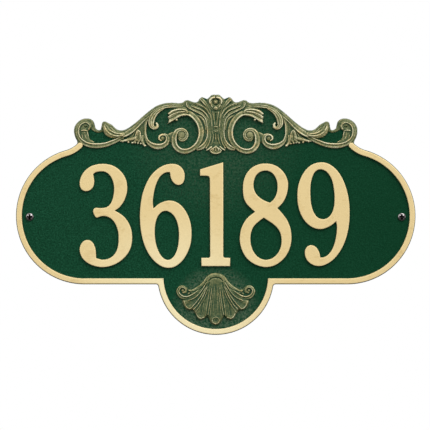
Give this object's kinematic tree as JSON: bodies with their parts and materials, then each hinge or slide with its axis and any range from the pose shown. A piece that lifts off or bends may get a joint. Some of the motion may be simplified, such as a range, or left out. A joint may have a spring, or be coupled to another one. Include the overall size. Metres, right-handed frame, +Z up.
{
  "type": "house number plaque",
  "caption": "Cast wall plaque with raised numerals, a raised rim, a scrolled leaf crest and a ribbed scallop lobe, held by a screw at each end.",
  "frame": {"origin": "midway between the two fixing screws, on the plane of the plaque's flat back", "axes": "+X to the right of someone who reads the numerals, +Y from the back into the wall, +Z up"},
  "size_m": [0.4372, 0.0392, 0.2624],
  "materials": {
    "green_painted_casting": "dark green satin enamel with a fine grain, the numerals, the rim and the carving's high edges rubbed with pale gold",
    "dark_screw": "glossy dark brown"
  },
  "bodies": {
    "root": {"cast_plaque": "green_painted_casting", "left_screw": "dark_screw", "right_screw": "dark_screw"}
  },
  "joints": []
}
